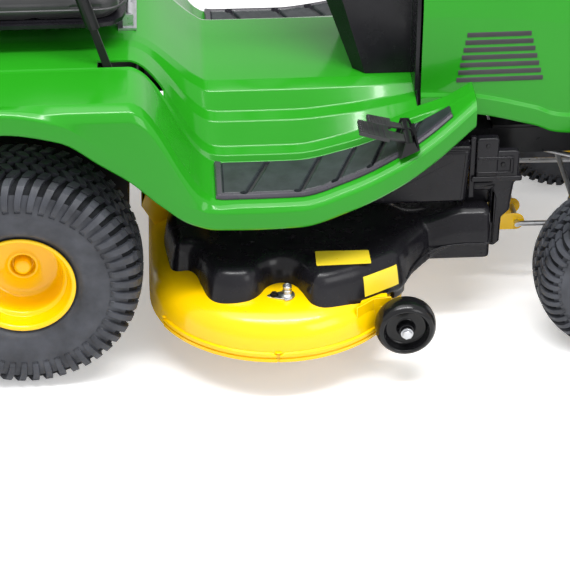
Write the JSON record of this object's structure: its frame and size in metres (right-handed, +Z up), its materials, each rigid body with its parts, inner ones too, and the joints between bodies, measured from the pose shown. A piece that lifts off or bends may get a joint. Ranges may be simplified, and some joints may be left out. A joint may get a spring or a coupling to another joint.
{
  "type": "riding lawn mower",
  "caption": "Riding lawn mower with a green body, yellow wheels, black deck cover and a yellow rear-discharge cutting deck hung between the axles.",
  "frame": {"origin": "on the ground under the middle of the machine's bounding box", "axes": "+X forward, +Y to the driver's left, +Z up"},
  "size_m": [1.795, 1.076, 1.0634],
  "materials": {
    "green_paint": "gloss enamel",
    "yellow_paint": "gloss enamel",
    "black_paint": "satin enamel",
    "black_plastic": "fine moulded grain",
    "mat_rubber": "matt, ribbed",
    "tyre_rubber": "matt",
    "zinc_steel": "zinc plated",
    "cast_metal": "cast",
    "seat_vinyl": "grained vinyl",
    "lamp_lens": "clear, gloss"
  },
  "bodies": {
    "chassis": {"frame": "black_paint", "rear_plate": "black_paint", "transaxle_housing": "cast_metal", "fender_deck": "green_paint", "foot_mat_left": "mat_rubber", "foot_mat_right": "mat_rubber", "dash_pedestal": "black_plastic", "instrument_panel": "black_plastic", "pedal_base_left": "zinc_steel", "pedal_base_right": "zinc_steel", "front_bumper": "black_paint", "engine_block": "cast_metal", "engine_shroud": "black_plastic", "muffler": "cast_metal", "battery": "black_plastic", "fuel_tank": "black_plastic", "side_shield_left": "black_plastic", "side_shield_right": "black_plastic", "seat_hinge": "zinc_steel"},
    "rear_wheel_left": {"rear_tyre_left": "tyre_rubber", "rear_rim_left": "yellow_paint"},
    "rear_wheel_right": {"rear_tyre_right": "tyre_rubber", "rear_rim_right": "yellow_paint"},
    "axle": {"front_axle": "black_paint"},
    "spindle_left": {"front_spindle_left": "zinc_steel"},
    "spindle_right": {"front_spindle_right": "zinc_steel"},
    "front_wheel_left": {"front_tyre_left": "tyre_rubber", "front_rim_left": "yellow_paint"},
    "front_wheel_right": {"front_tyre_right": "tyre_rubber", "front_rim_right": "yellow_paint"},
    "tie": {"tie_rod": "zinc_steel"},
    "sector": {"steering_sector": "zinc_steel"},
    "drag": {"drag_link": "zinc_steel"},
    "steering": {"steering_wheel": "black_plastic", "steering_shaft": "zinc_steel"},
    "bonnet": {"hood": "green_paint", "grille": "black_plastic", "headlight_left": "lamp_lens", "headlight_right": "lamp_lens"},
    "seat_base": {"seat_pan": "zinc_steel"},
    "seat": {"seat_shell": "black_plastic", "seat_cushion": "seat_vinyl", "seat_back": "seat_vinyl"},
    "deck": {"mower_deck": "yellow_paint", "deck_cover": "black_plastic", "wash_port": "zinc_steel"},
    "cutter_left": {"blade_left": "zinc_steel"},
    "cutter_right": {"blade_right": "zinc_steel"},
    "gauge_left": {"gauge_wheel_left": "black_plastic"},
    "gauge_right": {"gauge_wheel_right": "black_plastic"},
    "lift": {"lift_shaft": "black_paint"},
    "draft": {"draft_rod": "zinc_steel"},
    "crank": {"crank_pulley": "zinc_steel"},
    "pedal_forward": {"forward_pedal": "mat_rubber"},
    "pedal_reverse": {"reverse_pedal": "mat_rubber"},
    "pedal_brake": {"brake_pedal": "mat_rubber"},
    "throttle": {"throttle_lever": "yellow_paint"},
    "key": {"ignition_key": "black_plastic"},
    "pto": {"pto_knob": "yellow_paint"},
    "cap": {"fuel_cap": "black_plastic"}
  },
  "joints": [
    {"name": "rear_wheel_left_spin", "type": "hinge", "parent": "chassis", "child": "rear_wheel_left", "pos_m": [-0.5525, 0.36, 0.249], "axis": [0, 1, 0], "continuous": true},
    {"name": "rear_wheel_right_spin", "type": "hinge", "parent": "chassis", "child": "rear_wheel_right", "pos_m": [-0.5525, -0.36, 0.249], "axis": [0, 1, 0], "continuous": true},
    {"name": "axle_swing", "type": "hinge", "parent": "chassis", "child": "axle", "pos_m": [0.7025, 0, 0.33], "axis": [1, 0, 0], "range_deg": [-6, 6]},
    {"name": "kingpin_left", "type": "hinge", "parent": "axle", "child": "spindle_left", "pos_m": [0.7025, 0.245, 0.275], "axis": [0, 0, 1], "range_deg": [-30, 30]},
    {"name": "kingpin_right", "type": "hinge", "parent": "axle", "child": "spindle_right", "pos_m": [0.7025, -0.245, 0.275], "axis": [0, 0, 1], "range_deg": [-30, 30]},
    {"name": "front_wheel_left_spin", "type": "hinge", "parent": "spindle_left", "child": "front_wheel_left", "pos_m": [0.7025, 0.343, 0.184], "axis": [0, 1, 0], "continuous": true},
    {"name": "front_wheel_right_spin", "type": "hinge", "parent": "spindle_right", "child": "front_wheel_right", "pos_m": [0.7025, -0.343, 0.184], "axis": [0, 1, 0], "continuous": true},
    {"name": "tie_rod_pivot", "type": "hinge", "parent": "spindle_right", "child": "tie", "pos_m": [0.6125, -0.245, 0.289], "axis": [0, 0, 1], "range_deg": [-30, 30]},
    {"name": "sector_pivot", "type": "hinge", "parent": "chassis", "child": "sector", "pos_m": [0.4075, -0.08, 0.35], "axis": [0, 0, 1], "range_deg": [-30, 30]},
    {"name": "drag_link_pivot", "type": "hinge", "parent": "spindle_right", "child": "drag", "pos_m": [0.7025, -0.165, 0.33], "axis": [0, 0, 1], "range_deg": [-30, 30]},
    {"name": "steering_wheel_turn", "type": "hinge", "parent": "chassis", "child": "steering", "pos_m": [0.2975, 0, 0.33], "axis": [-0.3406, 0, 0.9402], "range_deg": [-241, 241]},
    {"name": "hood_hinge", "type": "hinge", "parent": "chassis", "child": "bonnet", "pos_m": [0.8835, 0, 0.43], "axis": [0, 1, 0], "range_deg": [0, 75]},
    {"name": "seat_hinge_tilt", "type": "hinge", "parent": "chassis", "child": "seat_base", "pos_m": [-0.3175, 0, 0.684], "axis": [0, 1, 0], "range_deg": [0, 75]},
    {"name": "seat_adjust", "type": "slide", "parent": "seat_base", "child": "seat", "axis": [1, 0, 0], "range_m": [-0.04, 0.04]},
    {"name": "deck_lift", "type": "slide", "parent": "chassis", "child": "deck", "axis": [0, 0, 1], "range_m": [-0.075, 0]},
    {"name": "blade_left_spin", "type": "hinge", "parent": "deck", "child": "cutter_left", "pos_m": [-0.0245, 0.263, 0.2], "axis": [0, 0, 1], "continuous": true},
    {"name": "blade_right_spin", "type": "hinge", "parent": "deck", "child": "cutter_right", "pos_m": [-0.0245, -0.263, 0.2], "axis": [0, 0, 1], "continuous": true},
    {"name": "gauge_left_spin", "type": "hinge", "parent": "deck", "child": "gauge_left", "pos_m": [0.2325, 0.474, 0.142], "axis": [0, 1, 0], "continuous": true},
    {"name": "gauge_right_spin", "type": "hinge", "parent": "deck", "child": "gauge_right", "pos_m": [0.2325, -0.474, 0.142], "axis": [0, 1, 0], "continuous": true},
    {"name": "lift_lever_turn", "type": "hinge", "parent": "chassis", "child": "lift", "pos_m": [-0.3025, 0, 0.45], "axis": [0, 1, 0], "range_deg": [0, 32.1]},
    {"name": "draft_rod_pivot", "type": "hinge", "parent": "chassis", "child": "draft", "pos_m": [0.8265, 0, 0.165], "axis": [0, 1, 0], "range_deg": [-14, 0]},
    {"name": "crank_spin", "type": "hinge", "parent": "chassis", "child": "crank", "pos_m": [0.5575, 0, 0.4], "axis": [0, 0, 1], "continuous": true},
    {"name": "forward_pedal_press", "type": "hinge", "parent": "chassis", "child": "pedal_forward", "pos_m": [0.2375, -0.3665, 0.52034], "axis": [0, 1, 0], "range_deg": [-10, 0], "stiffness_Nm_per_rad": 6, "springref_deg": 20.05},
    {"name": "reverse_pedal_press", "type": "hinge", "parent": "chassis", "child": "pedal_reverse", "pos_m": [0.2375, -0.3155, 0.52034], "axis": [0, 1, 0], "range_deg": [-10, 0], "stiffness_Nm_per_rad": 6, "springref_deg": 20.05},
    {"name": "brake_pedal_press", "type": "hinge", "parent": "chassis", "child": "pedal_brake", "pos_m": [0.2375, 0.343, 0.52034], "axis": [0, 1, 0], "range_deg": [-10, 0], "stiffness_Nm_per_rad": 6, "springref_deg": 20.05},
    {"name": "throttle_lever_turn", "type": "hinge", "parent": "chassis", "child": "throttle", "pos_m": [0.1875, -0.086, 0.886], "axis": [0, 1, 0], "range_deg": [-25, 25]},
    {"name": "ignition_key_turn", "type": "hinge", "parent": "chassis", "child": "key", "pos_m": [0.1475, -0.04, 0.892], "axis": [0, 0, 1], "range_deg": [-90, 0]},
    {"name": "pto_knob_pull", "type": "slide", "parent": "chassis", "child": "pto", "axis": [0, 0, 1], "range_m": [0, 0.01]},
    {"name": "fuel_cap_turn", "type": "hinge", "parent": "chassis", "child": "cap", "pos_m": [0.3305, -0.08, 0.775], "axis": [0, 0, 1], "range_deg": [0, 180]}
  ],
  "couplings": [
    {"joint": "kingpin_right", "follows": "kingpin_left", "ratio": 1},
    {"joint": "tie_rod_pivot", "follows": "kingpin_left", "ratio": -1},
    {"joint": "sector_pivot", "follows": "kingpin_left", "ratio": 1},
    {"joint": "drag_link_pivot", "follows": "kingpin_left", "ratio": -1},
    {"joint": "steering_wheel_turn", "follows": "kingpin_left", "ratio": 8.0074},
    {"joint": "blade_right_spin", "follows": "blade_left_spin", "ratio": 1},
    {"joint": "lift_lever_turn", "follows": "deck_lift", "rad_per_m": -7.4467},
    {"joint": "draft_rod_pivot", "follows": "deck_lift", "rad_per_m": 3.2414}
  ]
}
